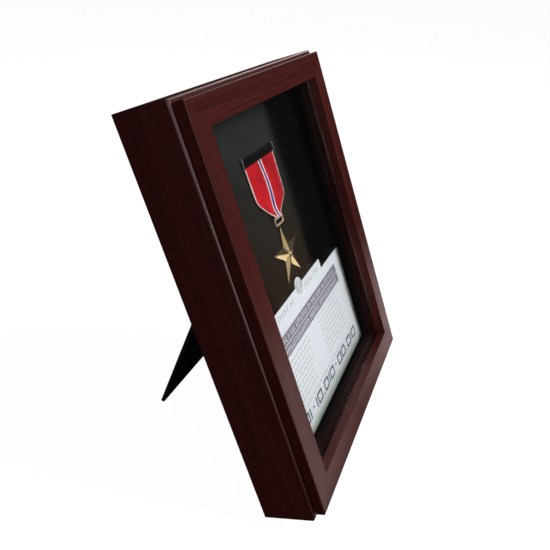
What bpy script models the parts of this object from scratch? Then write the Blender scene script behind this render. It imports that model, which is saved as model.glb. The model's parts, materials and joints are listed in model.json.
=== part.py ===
"""A medal display frame: a wooden shadow box with a glass front and an easel leg.

The frame is modelled upright, in its own axes: x to the right, y from the face towards the back,
z up, with the origin at the middle of the face. Everything hangs under one empty, which leans the
frame back on its easel leg and stands it on the floor, centred over the origin.
Units are metres, +Z up.
"""

import math

import bmesh
import bpy
from mathutils import Vector

# Outline of the frame, from the 6 by 8 inch window
SIGHT_W = 0.1524
SIGHT_H = 0.2032
FACE_RAIL = 0.0157          # width of a face rail
LEDGE = 0.00245             # the box stands this far proud of the face frame, all round
WIDTH = SIGHT_W + 2 * (FACE_RAIL + LEDGE)
HEIGHT = SIGHT_H + 2 * (FACE_RAIL + LEDGE)

# Depths, from the face towards the back
GAP = 0.0003                # between pieces that touch
FACE_T = 0.0058
BACK_Y = 0.0383             # rear face of the box
GLASS_T = 0.0020
PAD_Y = 0.0203              # front of the velvet
PAD_BACK_Y = 0.0347
PANEL_T = 0.0030
PANEL_Y = PAD_BACK_Y + GAP
REBATE_Y = PANEL_Y - GAP

# Box walls
WALL = 0.0150
REBATE = 0.0060             # width of the step that holds the back panel
INNER_W = WIDTH / 2 - WALL
INNER_H = HEIGHT / 2 - WALL
MITRE_GAP = 0.0001          # on each side of a mitre
ARRIS_BOX = 0.0010
ARRIS_FACE = 0.0007
ARRIS_FINE = 0.0004
ARRIS_PANE = 0.0002         # glass, back panel and hinge pin
ARRIS_STRIP = 0.0001        # lining strips and hinge leaves

# Lining, pad and card
LINER_T = 0.00175
LINER_IN_W = INNER_W - GAP - LINER_T
LINER_IN_H = INNER_H - GAP - LINER_T
VELVET_T = 0.0008
CARD_T = 0.0004
CARD_SHOULDER_Z = -0.0240
CARD_TAB_Z = -0.0167
CARD_TAB_LEFT = -0.0440
CARD_TAB_RIGHT = 0.0380
CARD_CREST_X = -0.0030
CARD_CREST_R = 0.0052
CARD_CORNER_R = 0.0010

# Medal
MEDAL_X = -0.0037
BAR_W = 0.0446
BAR_LOW_Z = 0.0686
BAR_HIGH_Z = 0.0740
BAR_FRONT_Y = 0.0186
BAR_END_T = 0.0009
BAR_END_RIM = 0.0006
BAR_ARRIS = 0.0004
PIN_WIRE_R = 0.0005
PIN_REACH = 0.0040
PIN_HALF = 0.0150
PIN_BEND_R = 0.0010
SLIT_ROOM = 0.0015          # round the pin, in the velvet and the foam
RIBBON_T = 0.0008
RIBBON_Y = 0.0194           # middle of the ribbon
RIBBON_TOP_Z = 0.0683
RIBBON_CORNER_Z = 0.0430
RIBBON_FOOT_Z = 0.0326
RIBBON_TOP_HALF = 0.0209
RIBBON_CORNER_HALF = 0.0198
RIBBON_FOOT_HALF = 0.0044
RIBBON_CORNER_R = 0.0060
RIBBON_FOOT_R = 0.0008
LOOP_Y = 0.0187             # the ribbon's loop, and the axis that the pendant swings on
LOOP_Z = 0.0316
LOOP_R = 0.0013
LOOP_BORE_R = 0.0009
LOOP_HALF = 0.0040
RING_WIRE_R = 0.00055
RING_HALF = 0.0055
RING_FOOT_Z = 0.0268
RING_CORNER_R = 0.0009
STAR_Z = 0.0062
STAR_R = 0.0196
STAR_WAIST_R = 0.0070
STAR_RISE = 0.0016
STAR_RIM = 0.0007
STAR_BACK_Y = 0.0200
BOSS_R = 0.0042             # of the small raised star at the centre
BOSS_LIFT = 0.0006          # from where the ridges would meet to its top

# Easel leg and its hinge
LEAN = math.radians(21.0)
LEG_OPEN = math.radians(39.1)
LEG_T = 0.0024
LEG_TOP_HALF = 0.0200
LEG_FOOT_HALF = 0.0350
LEG_TOP_DROP = 0.0026       # from the hinge axis to the leg's top edge
LEG_TOP_CORNER_R = 0.0030
LEG_FOOT_CORNER_R = 0.0008
KNUCKLE_R = 0.0020
KNUCKLE_BORE_R = 0.00105
HINGE_PIN_R = 0.00095
PIN_OVERHANG = 0.0005
LEAF_T = 0.0008
LEAF_HALF = 0.0140
LEAF_H = 0.0150
KNUCKLE_SPLIT = 0.0050      # half the length of the leg's knuckle
HINGE_Y = BACK_Y + KNUCKLE_R
HINGE_Z = 0.0376
LEG_REAR = KNUCKLE_R - LEAF_T - GAP      # the leg's rear face, behind the hinge axis
LEG_FRONT = LEG_REAR - LEG_T
RIVET_X = 0.0085
RIVET_Z = 0.0098
RIVET_R = 0.0010
RIVET_HEAD_R = 0.0021
RIVET_HEAD_H = 0.0009

# Back fittings
BUTTON_Z = 0.0620
BUTTON_X = WIDTH / 2 - 0.0056
BUTTON_T = 0.0010
BUTTON_R = 0.0032
BUTTON_REACH = 0.0122
BUTTON_TIP_R = 0.0026
SCREW_R = 0.0012
SCREW_HEAD_R = 0.0024
SCREW_HEAD_H = 0.0013
SCREW_LENGTH = 0.0100
SCREW_POINT = 0.0020
HANGER_HALF = 0.0230
HANGER_H = 0.0076
HANGER_T = 0.0010
HANGER_Z = HEIGHT / 2 - 0.0046
HANGER_TEETH = 11
HANGER_TEETH_HALF = 0.0135
HANGER_NOTCH = 0.0016
HANGER_ARCH = 0.0010        # the row of teeth rises this much in the middle
HANGER_TOOTH = 0.0014
HANGER_SLOPE = 0.0012
NAIL_X = 0.0190
NAIL_R = 0.0006
NAIL_HEAD_R = 0.0016
NAIL_HEAD_H = 0.0007
NAIL_LENGTH = 0.0085
NAIL_POINT = 0.0015
BUMPER_R = 0.0042
BUMPER_H = 0.0018
BUMPER_X = WIDTH / 2 - 0.0055
BUMPER_Z = -HEIGHT / 2 + 0.0055
CLEARANCE = 0.0003          # of a hole around the shank in it

ROUND = 24                  # sides of a round piece
ARC_STEPS = 4               # segments of a quarter round on an outline
OUTLINE_UP = (math.pi / 2, 0, 0)         # stands a flat outline up, facing the front

PARTS = "medal_display_frame"
CUTTERS = "cutters"

FINISHES = {                # colour, roughness, metallic
    "mahogany": ((0.055, 0.014, 0.013), 0.38, 0.0),
    "glass": ((0.80, 0.86, 0.84), 0.05, 0.0),
    "black_liner": ((0.010, 0.010, 0.010), 0.85, 0.0),
    "black_velvet": ((0.008, 0.008, 0.009), 0.95, 0.0),
    "foam": ((0.75, 0.74, 0.70), 0.90, 0.0),
    "printed_card": ((0.86, 0.88, 0.90), 0.60, 0.0),
    "dark_metal": ((0.020, 0.020, 0.020), 0.35, 1.0),
    "red_ribbon": ((0.60, 0.012, 0.025), 0.75, 0.0),
    "gold": ((0.55, 0.38, 0.14), 0.28, 1.0),
    "black_board": ((0.012, 0.012, 0.012), 0.70, 0.0),
    "zinc_steel": ((0.45, 0.45, 0.44), 0.40, 1.0),
    "brass_plated": ((0.60, 0.45, 0.18), 0.35, 1.0),
    "clear_rubber": ((0.55, 0.55, 0.53), 0.50, 0.0),
}


# ---------------------------------------------------------------- scene and materials

def clear_scene():
    for obj in list(bpy.data.objects):
        bpy.data.objects.remove(obj)


def new_collection(name):
    group = bpy.data.collections.new(name)
    bpy.context.scene.collection.children.link(group)
    return group


def own_material(name, finish):
    """Each piece gets its own Principled material."""
    colour, roughness, metallic = FINISHES[finish]
    mat = bpy.data.materials.new(name)
    mat.use_nodes = True
    shader = mat.node_tree.nodes["Principled BSDF"]
    shader.inputs["Base Color"].default_value = (*colour, 1.0)
    shader.inputs["Roughness"].default_value = roughness
    shader.inputs["Metallic"].default_value = metallic
    return mat


def new_empty(name, parent, location=(0, 0, 0), rotation=(0, 0, 0)):
    empty = bpy.data.objects.new(name, None)
    bpy.context.scene.collection.objects.link(empty)
    empty.parent = parent
    empty.location = location
    empty.rotation_euler = rotation
    return empty


def place(mesh, name, parent, location, rotation, finish=None):
    """Links a mesh as a part, or as a cutter where it has no finish."""
    obj = bpy.data.objects.new(name, mesh)
    group = PARTS if finish else CUTTERS
    bpy.data.collections[group].objects.link(obj)
    obj.parent = parent
    obj.location = location
    obj.rotation_euler = rotation
    if finish:
        mesh.materials.append(own_material(name, finish))
    else:
        obj.hide_render = True
        obj.display_type = "WIRE"
    return obj


# ---------------------------------------------------------------- meshes

def mesh_from(bm, name):
    bmesh.ops.recalc_face_normals(bm, faces=bm.faces)
    mesh = bpy.data.meshes.new(name)
    bm.to_mesh(mesh)
    bm.free()
    return mesh


def mesh_from_curve(curve, name):
    """A filled curve as one closed mesh, with its caps welded on."""
    temp = bpy.data.objects.new(name, curve)
    bpy.context.scene.collection.objects.link(temp)
    evaluated = temp.evaluated_get(bpy.context.evaluated_depsgraph_get())
    mesh = bpy.data.meshes.new_from_object(evaluated)
    bpy.data.objects.remove(temp)
    bm = bmesh.new()
    bm.from_mesh(mesh)
    bpy.data.meshes.remove(mesh)
    bmesh.ops.remove_doubles(bm, verts=bm.verts, dist=0.00001)
    return mesh_from(bm, name)


def poly_curve(name, points, cyclic):
    curve = bpy.data.curves.new(name, "CURVE")
    spline = curve.splines.new("POLY")
    spline.points.add(len(points) - 1)
    for target, point in zip(spline.points, points):
        target.co = (*point, 1.0) if len(point) == 3 else (*point, 0.0, 1.0)
    spline.use_cyclic_u = cyclic
    return curve


def extrusion(name, outline, half_length):
    """The outline, in local x and y, carried half_length each way along z."""
    curve = poly_curve(name, outline, cyclic=True)
    curve.dimensions = "2D"
    curve.fill_mode = "BOTH"
    curve.extrude = half_length
    return mesh_from_curve(curve, name)


def wire(name, points, radius, cyclic):
    curve = poly_curve(name, points, cyclic)
    curve.dimensions = "3D"
    curve.bevel_depth = radius
    curve.bevel_resolution = 2
    curve.use_fill_caps = not cyclic
    return mesh_from_curve(curve, name)


def box_mesh(name, size, arris=0.0):
    bm = bmesh.new()
    bmesh.ops.create_cube(bm, size=1.0)
    bmesh.ops.scale(bm, vec=size, verts=bm.verts)
    if arris:
        bmesh.ops.bevel(bm, geom=bm.edges[:], offset=arris, segments=2, profile=0.5, affect="EDGES")
    return mesh_from(bm, name)


def cylinder_mesh(name, radius, length, arris=0.0):
    bm = bmesh.new()
    bmesh.ops.create_cone(bm, cap_ends=True, segments=ROUND, radius1=radius, radius2=radius,
                          depth=length)
    if arris:
        rims = [e for e in bm.edges if abs(e.verts[0].co.z - e.verts[1].co.z) < arris]
        bmesh.ops.bevel(bm, geom=rims, offset=arris, segments=2, profile=0.5, affect="EDGES")
    return mesh_from(bm, name)


def turned_mesh(name, profile):
    """A profile of (radius, height) points, from top to bottom, turned about local z."""
    bm = bmesh.new()
    verts = [bm.verts.new((radius, 0, height)) for radius, height in profile]
    edges = [bm.edges.new(pair) for pair in zip(verts, verts[1:])]
    bmesh.ops.spin(bm, geom=verts + edges, cent=(0, 0, 0), axis=(0, 0, 1),
                   angle=2 * math.pi, steps=ROUND, use_merge=True)
    bmesh.ops.remove_doubles(bm, verts=bm.verts, dist=0.00001)
    return mesh_from(bm, name)


def rounded(corners):
    """An outline whose (x, y, radius) corners are rounded, with ARC_STEPS segments each."""
    points = []
    for i, (x, y, radius) in enumerate(corners):
        here = Vector((x, y))
        if not radius:
            points.append(here)
            continue
        before = (Vector(corners[i - 1][:2]) - here).normalized()
        after = (Vector(corners[(i + 1) % len(corners)][:2]) - here).normalized()
        half = before.angle(after) / 2
        centre = here + (before + after).normalized() * (radius / math.sin(half))
        start = here + before * (radius / math.tan(half)) - centre
        end = here + after * (radius / math.tan(half)) - centre
        sweep = start.angle_signed(end)
        for step in range(ARC_STEPS + 1):
            turn = -sweep * step / ARC_STEPS
            points.append(centre + Vector((start.x * math.cos(turn) - start.y * math.sin(turn),
                                           start.x * math.sin(turn) + start.y * math.cos(turn))))
    return [(p.x, p.y) for p in points]


def half_circle(centre_x, radius, first_angle, steps=12):
    angles = [first_angle + math.pi * i / steps for i in range(steps + 1)]
    return [(centre_x + radius * math.cos(a), radius * math.sin(a)) for a in angles]


def head_profile(radius, height, steps=4):
    """Half of a domed head, from its top at the axis to its rim."""
    quarter = math.pi / 2
    return [(radius * math.sin(quarter * i / steps), height * math.cos(quarter * i / steps))
            for i in range(steps + 1)]


def smooth(obj, angle=35):
    obj.data.shade_smooth()
    obj.data.set_sharp_from_angle(angle=math.radians(angle))


def boolean(obj, other, operation):
    modifier = obj.modifiers.new(f"{operation.lower()}_{other.name}", "BOOLEAN")
    modifier.operation = operation
    modifier.solver = "EXACT"
    modifier.object = other


def drill(obj, name, radius, length, parent, location, rotation):
    """Cuts a round hole whose axis passes through location."""
    cutter = place(cylinder_mesh(name, radius, length), name, parent, location, rotation)
    boolean(obj, cutter, "DIFFERENCE")


# ---------------------------------------------------------------- frame and box

def mitred_rail(name, section, half_length, parent, location, turn, finish):
    """A rail of that section, in inward distance and depth, with its ends cut at 45 degrees."""
    mesh = extrusion(name, section, half_length)
    for vertex in mesh.vertices:
        end = 1 if vertex.co.z > 0 else -1
        vertex.co.z -= end * (vertex.co.x + MITRE_GAP)
    rail = place(mesh, name, parent, location, (0, turn, 0), finish)
    smooth(rail)
    return rail


def rail_set(prefix, section, half_w, half_h, parent):
    """Left, right, top and bottom rails around a rectangle."""
    quarter = math.pi / 2
    layout = {
        "left": ((-half_w, 0, 0), 0, half_h),
        "right": ((half_w, 0, 0), 2 * quarter, half_h),
        "top": ((0, 0, half_h), quarter, half_w),
        "bottom": ((0, 0, -half_h), -quarter, half_w),
    }
    return {side: mitred_rail(f"{prefix}_{side}", section, half, parent, spot, turn, "mahogany")
            for side, (spot, turn, half) in layout.items()}


def build_face_frame(root):
    section = rounded([
        (0, 0, ARRIS_FACE),
        (0, FACE_T, 0),
        (FACE_RAIL, FACE_T, 0),
        (FACE_RAIL, 0, ARRIS_FINE),
    ])
    rail_set("face_rail", section, WIDTH / 2 - LEDGE, HEIGHT / 2 - LEDGE, root)


def build_box(root):
    front = FACE_T + GAP
    section = rounded([
        (0, front, ARRIS_BOX),
        (0, BACK_Y, ARRIS_FINE),
        (WALL - REBATE, BACK_Y, 0),
        (WALL - REBATE, REBATE_Y, 0),
        (WALL, REBATE_Y, 0),
        (WALL, front, 0),
    ])
    walls = rail_set("box_wall", section, WIDTH / 2, HEIGHT / 2, root)
    hole = SCREW_R + CLEARANCE
    for side, across in (("left", -1), ("right", 1)):
        for level, up in (("upper", 1), ("lower", -1)):
            drill(walls[side], f"hole_screw_{level}_{side}", hole, 2 * (SCREW_LENGTH + GAP), root,
                  (across * BUTTON_X, BACK_Y, up * BUTTON_Z), OUTLINE_UP)
    for side, across in (("left", -1), ("right", 1)):
        drill(walls["top"], f"hole_nail_{side}", NAIL_R + CLEARANCE, 2 * (NAIL_LENGTH + GAP), root,
              (across * NAIL_X, BACK_Y, HANGER_Z), OUTLINE_UP)


def build_glass(root):
    size = (2 * (INNER_W - 1.5 * GAP), GLASS_T, 2 * (INNER_H - 1.5 * GAP))
    place(box_mesh("glass_pane", size, ARRIS_PANE), "glass_pane", root,
          (0, FACE_T + GAP + GLASS_T / 2, 0), (0, 0, 0), "glass")


def build_liner(root):
    """Four strips that hold the glass forward and the pad back."""
    front = FACE_T + GAP + GLASS_T + GAP
    back = PAD_Y - GAP
    middle = (front + back) / 2
    tall = 2 * (INNER_H - GAP)
    across_x = INNER_W - GAP - LINER_T / 2
    across_z = INNER_H - GAP - LINER_T / 2
    wide = 2 * (LINER_IN_W - GAP)
    for side, sign in (("left", -1), ("right", 1)):
        name = f"liner_{side}"
        place(box_mesh(name, (LINER_T, back - front, tall), ARRIS_STRIP), name, root,
              (sign * across_x, middle, 0), (0, 0, 0), "black_liner")
    for side, sign in (("bottom", -1), ("top", 1)):
        name = f"liner_{side}"
        place(box_mesh(name, (wide, back - front, LINER_T), ARRIS_STRIP), name, root,
              (0, middle, sign * across_z), (0, 0, 0), "black_liner")


def build_pad(root):
    """A foam slab wrapped in velvet, open behind, with a slit for the brooch pin."""
    half_w = INNER_W - 1.5 * GAP
    half_h = INNER_H - 1.5 * GAP
    depth = PAD_BACK_Y - PAD_Y
    bm = bmesh.new()
    bmesh.ops.create_cube(bm, size=1.0)
    bmesh.ops.scale(bm, vec=(2 * half_w, depth, 2 * half_h), verts=bm.verts)
    rear = [f for f in bm.faces if f.normal.y > 0.5]
    bmesh.ops.delete(bm, geom=rear, context="FACES")
    cover = place(mesh_from(bm, "velvet_cover"), "velvet_cover", root,
                  (0, PAD_Y + depth / 2, 0), (0, 0, 0), "black_velvet")
    shell = cover.modifiers.new("cloth_thickness", "SOLIDIFY")
    shell.thickness = VELVET_T
    shell.offset = -1
    shell.use_even_offset = True

    inset = VELVET_T + GAP
    foam_size = (2 * (half_w - inset), depth - inset, 2 * (half_h - inset))
    foam = place(box_mesh("foam_pad", foam_size), "foam_pad", root,
                 (0, PAD_Y + inset + (depth - inset) / 2, 0), (0, 0, 0), "foam")

    room = PIN_WIRE_R + SLIT_ROOM
    slit_size = (2 * (PIN_HALF + room), 2 * (PIN_REACH + room), 2 * room)
    slit = place(box_mesh("slit_pin", slit_size), "slit_pin", root,
                 (MEDAL_X, PAD_Y, (BAR_LOW_Z + BAR_HIGH_Z) / 2), (0, 0, 0))
    boolean(cover, slit, "DIFFERENCE")
    boolean(foam, slit, "DIFFERENCE")


def build_card(root):
    """The printed insert: straight sides, a raised tab, and one round crest on the tab."""
    half = LINER_IN_W - 1.5 * GAP
    low = -(LINER_IN_H - 1.5 * GAP)
    right = rounded([
        (-half, low, 0),
        (half, low, 0),
        (half, CARD_SHOULDER_Z, CARD_CORNER_R),
        (CARD_TAB_RIGHT, CARD_SHOULDER_Z, 0),
        (CARD_TAB_RIGHT, CARD_TAB_Z, CARD_CORNER_R),
        (CARD_CREST_X + CARD_CREST_R, CARD_TAB_Z, 0),
    ])
    crest = [(CARD_CREST_X + CARD_CREST_R * math.cos(math.pi * i / 12),
              CARD_TAB_Z + CARD_CREST_R * math.sin(math.pi * i / 12)) for i in range(1, 12)]
    left = rounded([
        (CARD_CREST_X - CARD_CREST_R, CARD_TAB_Z, 0),
        (CARD_TAB_LEFT, CARD_TAB_Z, CARD_CORNER_R),
        (CARD_TAB_LEFT, CARD_SHOULDER_Z, 0),
        (-half, CARD_SHOULDER_Z, CARD_CORNER_R),
        (-half, low, 0),
    ])
    outline = right + crest + left[:-1]
    place(extrusion("insert_card", outline, CARD_T / 2), "insert_card", root,
          (0, PAD_Y - GAP - CARD_T / 2, 0), OUTLINE_UP, "printed_card")


# ---------------------------------------------------------------- medal

def build_brooch(root):
    height = BAR_HIGH_Z - BAR_LOW_Z
    depth = PAD_Y - GAP - BAR_FRONT_Y
    middle = (MEDAL_X, BAR_FRONT_Y + depth / 2, (BAR_LOW_Z + BAR_HIGH_Z) / 2)
    bar = place(box_mesh("brooch_bar", (BAR_W - BAR_END_T, depth, height), BAR_ARRIS),
                "brooch_bar", root, middle, (0, 0, 0), "dark_metal")
    for side, sign in (("left", -1), ("right", 1)):
        name = f"bar_end_{side}"
        size = (BAR_END_T, depth, height + 2 * BAR_END_RIM)
        end = place(box_mesh(name, size, BAR_ARRIS / 2), name, root,
                    (MEDAL_X + sign * (BAR_W - BAR_END_T) / 2, middle[1], middle[2]), (0, 0, 0))
        boolean(bar, end, "UNION")

    front = PAD_Y + PIN_WIRE_R
    route = rounded([
        (-PIN_HALF, front, 0),
        (-PIN_HALF, PAD_Y + PIN_REACH, PIN_BEND_R),
        (PIN_HALF, PAD_Y + PIN_REACH, PIN_BEND_R),
        (PIN_HALF, front, 0),
    ])
    pin = place(wire("brooch_pin", [(x, y, 0) for x, y in route], PIN_WIRE_R, cyclic=False),
                "brooch_pin", root, (MEDAL_X, 0, middle[2]), (0, 0, 0), "zinc_steel")
    smooth(pin)


def build_ribbon(root):
    """A flat ribbon, drawn in at its foot, with a loop for the ring."""
    outline = rounded([
        (-RIBBON_TOP_HALF, RIBBON_TOP_Z, 0),
        (-RIBBON_CORNER_HALF, RIBBON_CORNER_Z, RIBBON_CORNER_R),
        (-RIBBON_FOOT_HALF, RIBBON_FOOT_Z, RIBBON_FOOT_R),
        (RIBBON_FOOT_HALF, RIBBON_FOOT_Z, RIBBON_FOOT_R),
        (RIBBON_CORNER_HALF, RIBBON_CORNER_Z, RIBBON_CORNER_R),
        (RIBBON_TOP_HALF, RIBBON_TOP_Z, 0),
    ])
    ribbon = place(extrusion("ribbon", outline, RIBBON_T / 2), "ribbon", root,
                   (MEDAL_X, RIBBON_Y, 0), OUTLINE_UP, "red_ribbon")
    axis = (0, math.pi / 2, 0)
    spot = (MEDAL_X, LOOP_Y, LOOP_Z)
    loop = place(cylinder_mesh("ribbon_loop", LOOP_R, 2 * LOOP_HALF), "ribbon_loop", root, spot,
                 axis)
    boolean(ribbon, loop, "UNION")
    drill(ribbon, "ribbon_bore", LOOP_BORE_R, 4 * LOOP_HALF, root, spot, axis)


def build_pendant(root):
    """The ring and the star. They swing together about the ring's top bar."""
    swing = new_empty("pendant_axis", root, (MEDAL_X, LOOP_Y, LOOP_Z))
    foot = RING_FOOT_Z - LOOP_Z
    outline = rounded([
        (-RING_HALF, 0, RING_CORNER_R),
        (-RING_HALF, foot, RING_CORNER_R),
        (RING_HALF, foot, RING_CORNER_R),
        (RING_HALF, 0, RING_CORNER_R),
    ])
    ring = place(wire("medal_ring", [(x, 0, z) for x, z in outline], RING_WIRE_R, cyclic=True),
                 "medal_ring", swing, (0, 0, 0), (0, 0, 0), "gold")
    smooth(ring, 60)

    spot = (0, STAR_BACK_Y - STAR_RIM - LOOP_Y, STAR_Z - LOOP_Z)
    place(star_mesh("medal_star"), "medal_star", swing, spot, OUTLINE_UP, "gold")


def star_mesh(name):
    """Five ridged rays on a thin rim, with a small raised star where their ridges meet."""
    bm = bmesh.new()
    boss_foot = STAR_RISE * (1 - BOSS_R / STAR_R)
    boss_waist_r = BOSS_R * STAR_WAIST_R / STAR_R
    levels = [
        (STAR_R, STAR_WAIST_R, -STAR_RIM),
        (STAR_R, STAR_WAIST_R, 0),
        (BOSS_R, boss_waist_r, boss_foot),
    ]
    rings = []
    for point_r, waist_r, height in levels:
        ring = []
        for i in range(10):
            angle = math.pi / 2 + i * math.pi / 5
            radius = waist_r if i % 2 else point_r
            ring.append(bm.verts.new((radius * math.cos(angle), radius * math.sin(angle), height)))
        rings.append(ring)
    top = bm.verts.new((0, 0, STAR_RISE + BOSS_LIFT))
    bm.faces.new(rings[0])
    for lower, upper in zip(rings, rings[1:]):
        for i in range(10):
            bm.faces.new((lower[i - 1], lower[i], upper[i], upper[i - 1]))
    for i in range(10):
        bm.faces.new((rings[-1][i - 1], rings[-1][i], top))
    return mesh_from(bm, name)


# ---------------------------------------------------------------- back

def build_back_panel(root):
    half_w = INNER_W + REBATE - GAP
    half_h = INNER_H + REBATE - GAP
    panel = place(box_mesh("back_panel", (2 * half_w, PANEL_T, 2 * half_h), ARRIS_PANE),
                  "back_panel", root, (0, PANEL_Y + PANEL_T / 2, 0), (0, 0, 0), "black_board")
    for side, sign in (("left", -1), ("right", 1)):
        drill(panel, f"hole_panel_{side}", RIVET_R + CLEARANCE, 4 * PANEL_T, root,
              (sign * RIVET_X, PANEL_Y, HINGE_Z + RIVET_Z), OUTLINE_UP)


def build_leaf(name, knuckles, reach, parent):
    """A hinge leaf: a plate that touches its knuckles, which are spans along the pin.

    In the parent's axes the pin runs along x, and the plate lies at y = -KNUCKLE_R and above the
    pin where reach is +1, or at y = +KNUCKLE_R and below it where reach is -1.
    """
    plate_z = reach * LEAF_H / 2
    plate_y = -reach * (KNUCKLE_R - LEAF_T / 2)
    size = (2 * LEAF_HALF, LEAF_T, LEAF_H)
    leaf = place(box_mesh(name, size, ARRIS_STRIP), name, parent, (0, plate_y, plate_z), (0, 0, 0),
                 "zinc_steel")
    for i, (low, high) in enumerate(knuckles):
        tube = f"{name}_knuckle_{i + 1}"
        barrel = place(cylinder_mesh(tube, KNUCKLE_R, high - low), tube, parent,
                       ((low + high) / 2, 0, 0), (0, math.pi / 2, 0))
        boolean(leaf, barrel, "UNION")
    notches = [(-LEAF_HALF, -KNUCKLE_SPLIT), (KNUCKLE_SPLIT, LEAF_HALF)]
    if len(knuckles) == 2:
        notches = [(-KNUCKLE_SPLIT, KNUCKLE_SPLIT)]
    for i, (low, high) in enumerate(notches):
        notch = f"{name}_notch_{i + 1}"
        room = 2 * GAP
        cutter = place(box_mesh(notch, (high - low + room, 6 * KNUCKLE_R, 2 * (KNUCKLE_R + GAP))),
                       notch, parent, ((low + high) / 2, 0, 0), (0, 0, 0))
        boolean(leaf, cutter, "DIFFERENCE")
    drill(leaf, f"{name}_bore", KNUCKLE_BORE_R, 4 * LEAF_HALF, parent, (0, 0, 0),
          (0, math.pi / 2, 0))
    for side, sign in (("left", -1), ("right", 1)):
        drill(leaf, f"{name}_hole_{side}", RIVET_R + CLEARANCE, 4 * KNUCKLE_R, parent,
              (sign * RIVET_X, plate_y, reach * RIVET_Z), OUTLINE_UP)
    return leaf


def build_rivets(prefix, inner, outer, z, parent):
    """Two domed rivets. The shank runs from y = inner to the head's underside at y = outer."""
    profile = head_profile(RIVET_HEAD_R, RIVET_HEAD_H)
    profile += [(RIVET_R, 0), (RIVET_R, inner - outer), (0, inner - outer)]
    for side, sign in (("left", -1), ("right", 1)):
        name = f"{prefix}_{side}"
        rivet = place(turned_mesh(name, profile), name, parent, (sign * RIVET_X, outer, z),
                      (-math.pi / 2, 0, 0), "zinc_steel")
        smooth(rivet)


def build_easel(root):
    """The hinge, and the leg at its open stop. The leg's pieces hang on the hinge axis."""
    hinge = new_empty("easel_hinge", root, (0, HINGE_Y, HINGE_Z))
    swing = new_empty("leg_axis", hinge, (0, 0, 0), (LEG_OPEN, 0, 0))
    side = KNUCKLE_SPLIT + GAP
    build_leaf("hinge_leaf_fixed", [(-LEAF_HALF, -side), (side, LEAF_HALF)], 1, hinge)
    build_leaf("hinge_leaf_leg", [(-KNUCKLE_SPLIT, KNUCKLE_SPLIT)], -1, swing)
    pin_length = 2 * (LEAF_HALF + PIN_OVERHANG)
    pin = place(cylinder_mesh("hinge_pin", HINGE_PIN_R, pin_length, ARRIS_PANE), "hinge_pin", hinge,
                (0, 0, 0), (0, math.pi / 2, 0), "zinc_steel")
    smooth(pin)
    build_rivets("panel_rivet", PANEL_Y - HINGE_Y, LEAF_T - KNUCKLE_R + GAP, RIVET_Z, hinge)
    build_rivets("leg_rivet", LEG_FRONT, KNUCKLE_R + GAP, -RIVET_Z, swing)

    edge_lift = ARRIS_FINE * (math.sin(LEAN) + math.cos(LEAN) - 1)
    rise = (HINGE_Z + HEIGHT / 2) * math.cos(LEAN) - KNUCKLE_R * math.sin(LEAN) - edge_lift
    tilt = LEG_OPEN - LEAN
    foot = -(rise + LEG_FRONT * math.sin(tilt)) / math.cos(tilt)
    outline = rounded([
        (-LEG_FOOT_HALF, foot, LEG_FOOT_CORNER_R),
        (LEG_FOOT_HALF, foot, LEG_FOOT_CORNER_R),
        (LEG_TOP_HALF, -LEG_TOP_DROP, LEG_TOP_CORNER_R),
        (-LEG_TOP_HALF, -LEG_TOP_DROP, LEG_TOP_CORNER_R),
    ])
    leg = place(extrusion("easel_leg", outline, LEG_T / 2), "easel_leg", swing,
                (0, LEG_REAR - LEG_T / 2, 0), OUTLINE_UP, "black_board")
    for side_name, sign in (("left", -1), ("right", 1)):
        drill(leg, f"hole_leg_{side_name}", RIVET_R + CLEARANCE, 6 * LEG_T, swing,
              (sign * RIVET_X, 0, -RIVET_Z), OUTLINE_UP)


def build_turn_buttons(root):
    """Four steel tabs, each on its screw, that hold the back panel in."""
    seat = BACK_Y + GAP
    head = head_profile(SCREW_HEAD_R, SCREW_HEAD_H)
    reach = BUTTON_T + 2 * GAP + SCREW_LENGTH
    screw = head + [(SCREW_R, 0), (SCREW_R, -reach + SCREW_POINT), (0, -reach)]
    hub = half_circle(0, BUTTON_R, math.pi / 2)
    tip = half_circle(BUTTON_REACH, BUTTON_TIP_R, -math.pi / 2)
    for side, sign in (("left", -1), ("right", 1)):
        for level, up in (("upper", 1), ("lower", -1)):
            where = f"{level}_{side}"
            spot = (sign * BUTTON_X, seat, up * BUTTON_Z)
            outline = [(-sign * x, y) for x, y in hub + tip]
            name = f"turn_button_{where}"
            button = place(extrusion(name, outline, BUTTON_T / 2), name, root,
                           (spot[0], seat + BUTTON_T / 2, spot[2]), OUTLINE_UP, "brass_plated")
            drill(button, f"hole_button_{where}", SCREW_R + CLEARANCE, 6 * BUTTON_T, root, spot,
                  OUTLINE_UP)
            name = f"screw_{where}"
            piece = place(turned_mesh(name, screw), name, root,
                          (spot[0], seat + BUTTON_T + GAP, spot[2]), (-math.pi / 2, 0, 0),
                          "brass_plated")
            smooth(piece)


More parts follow.
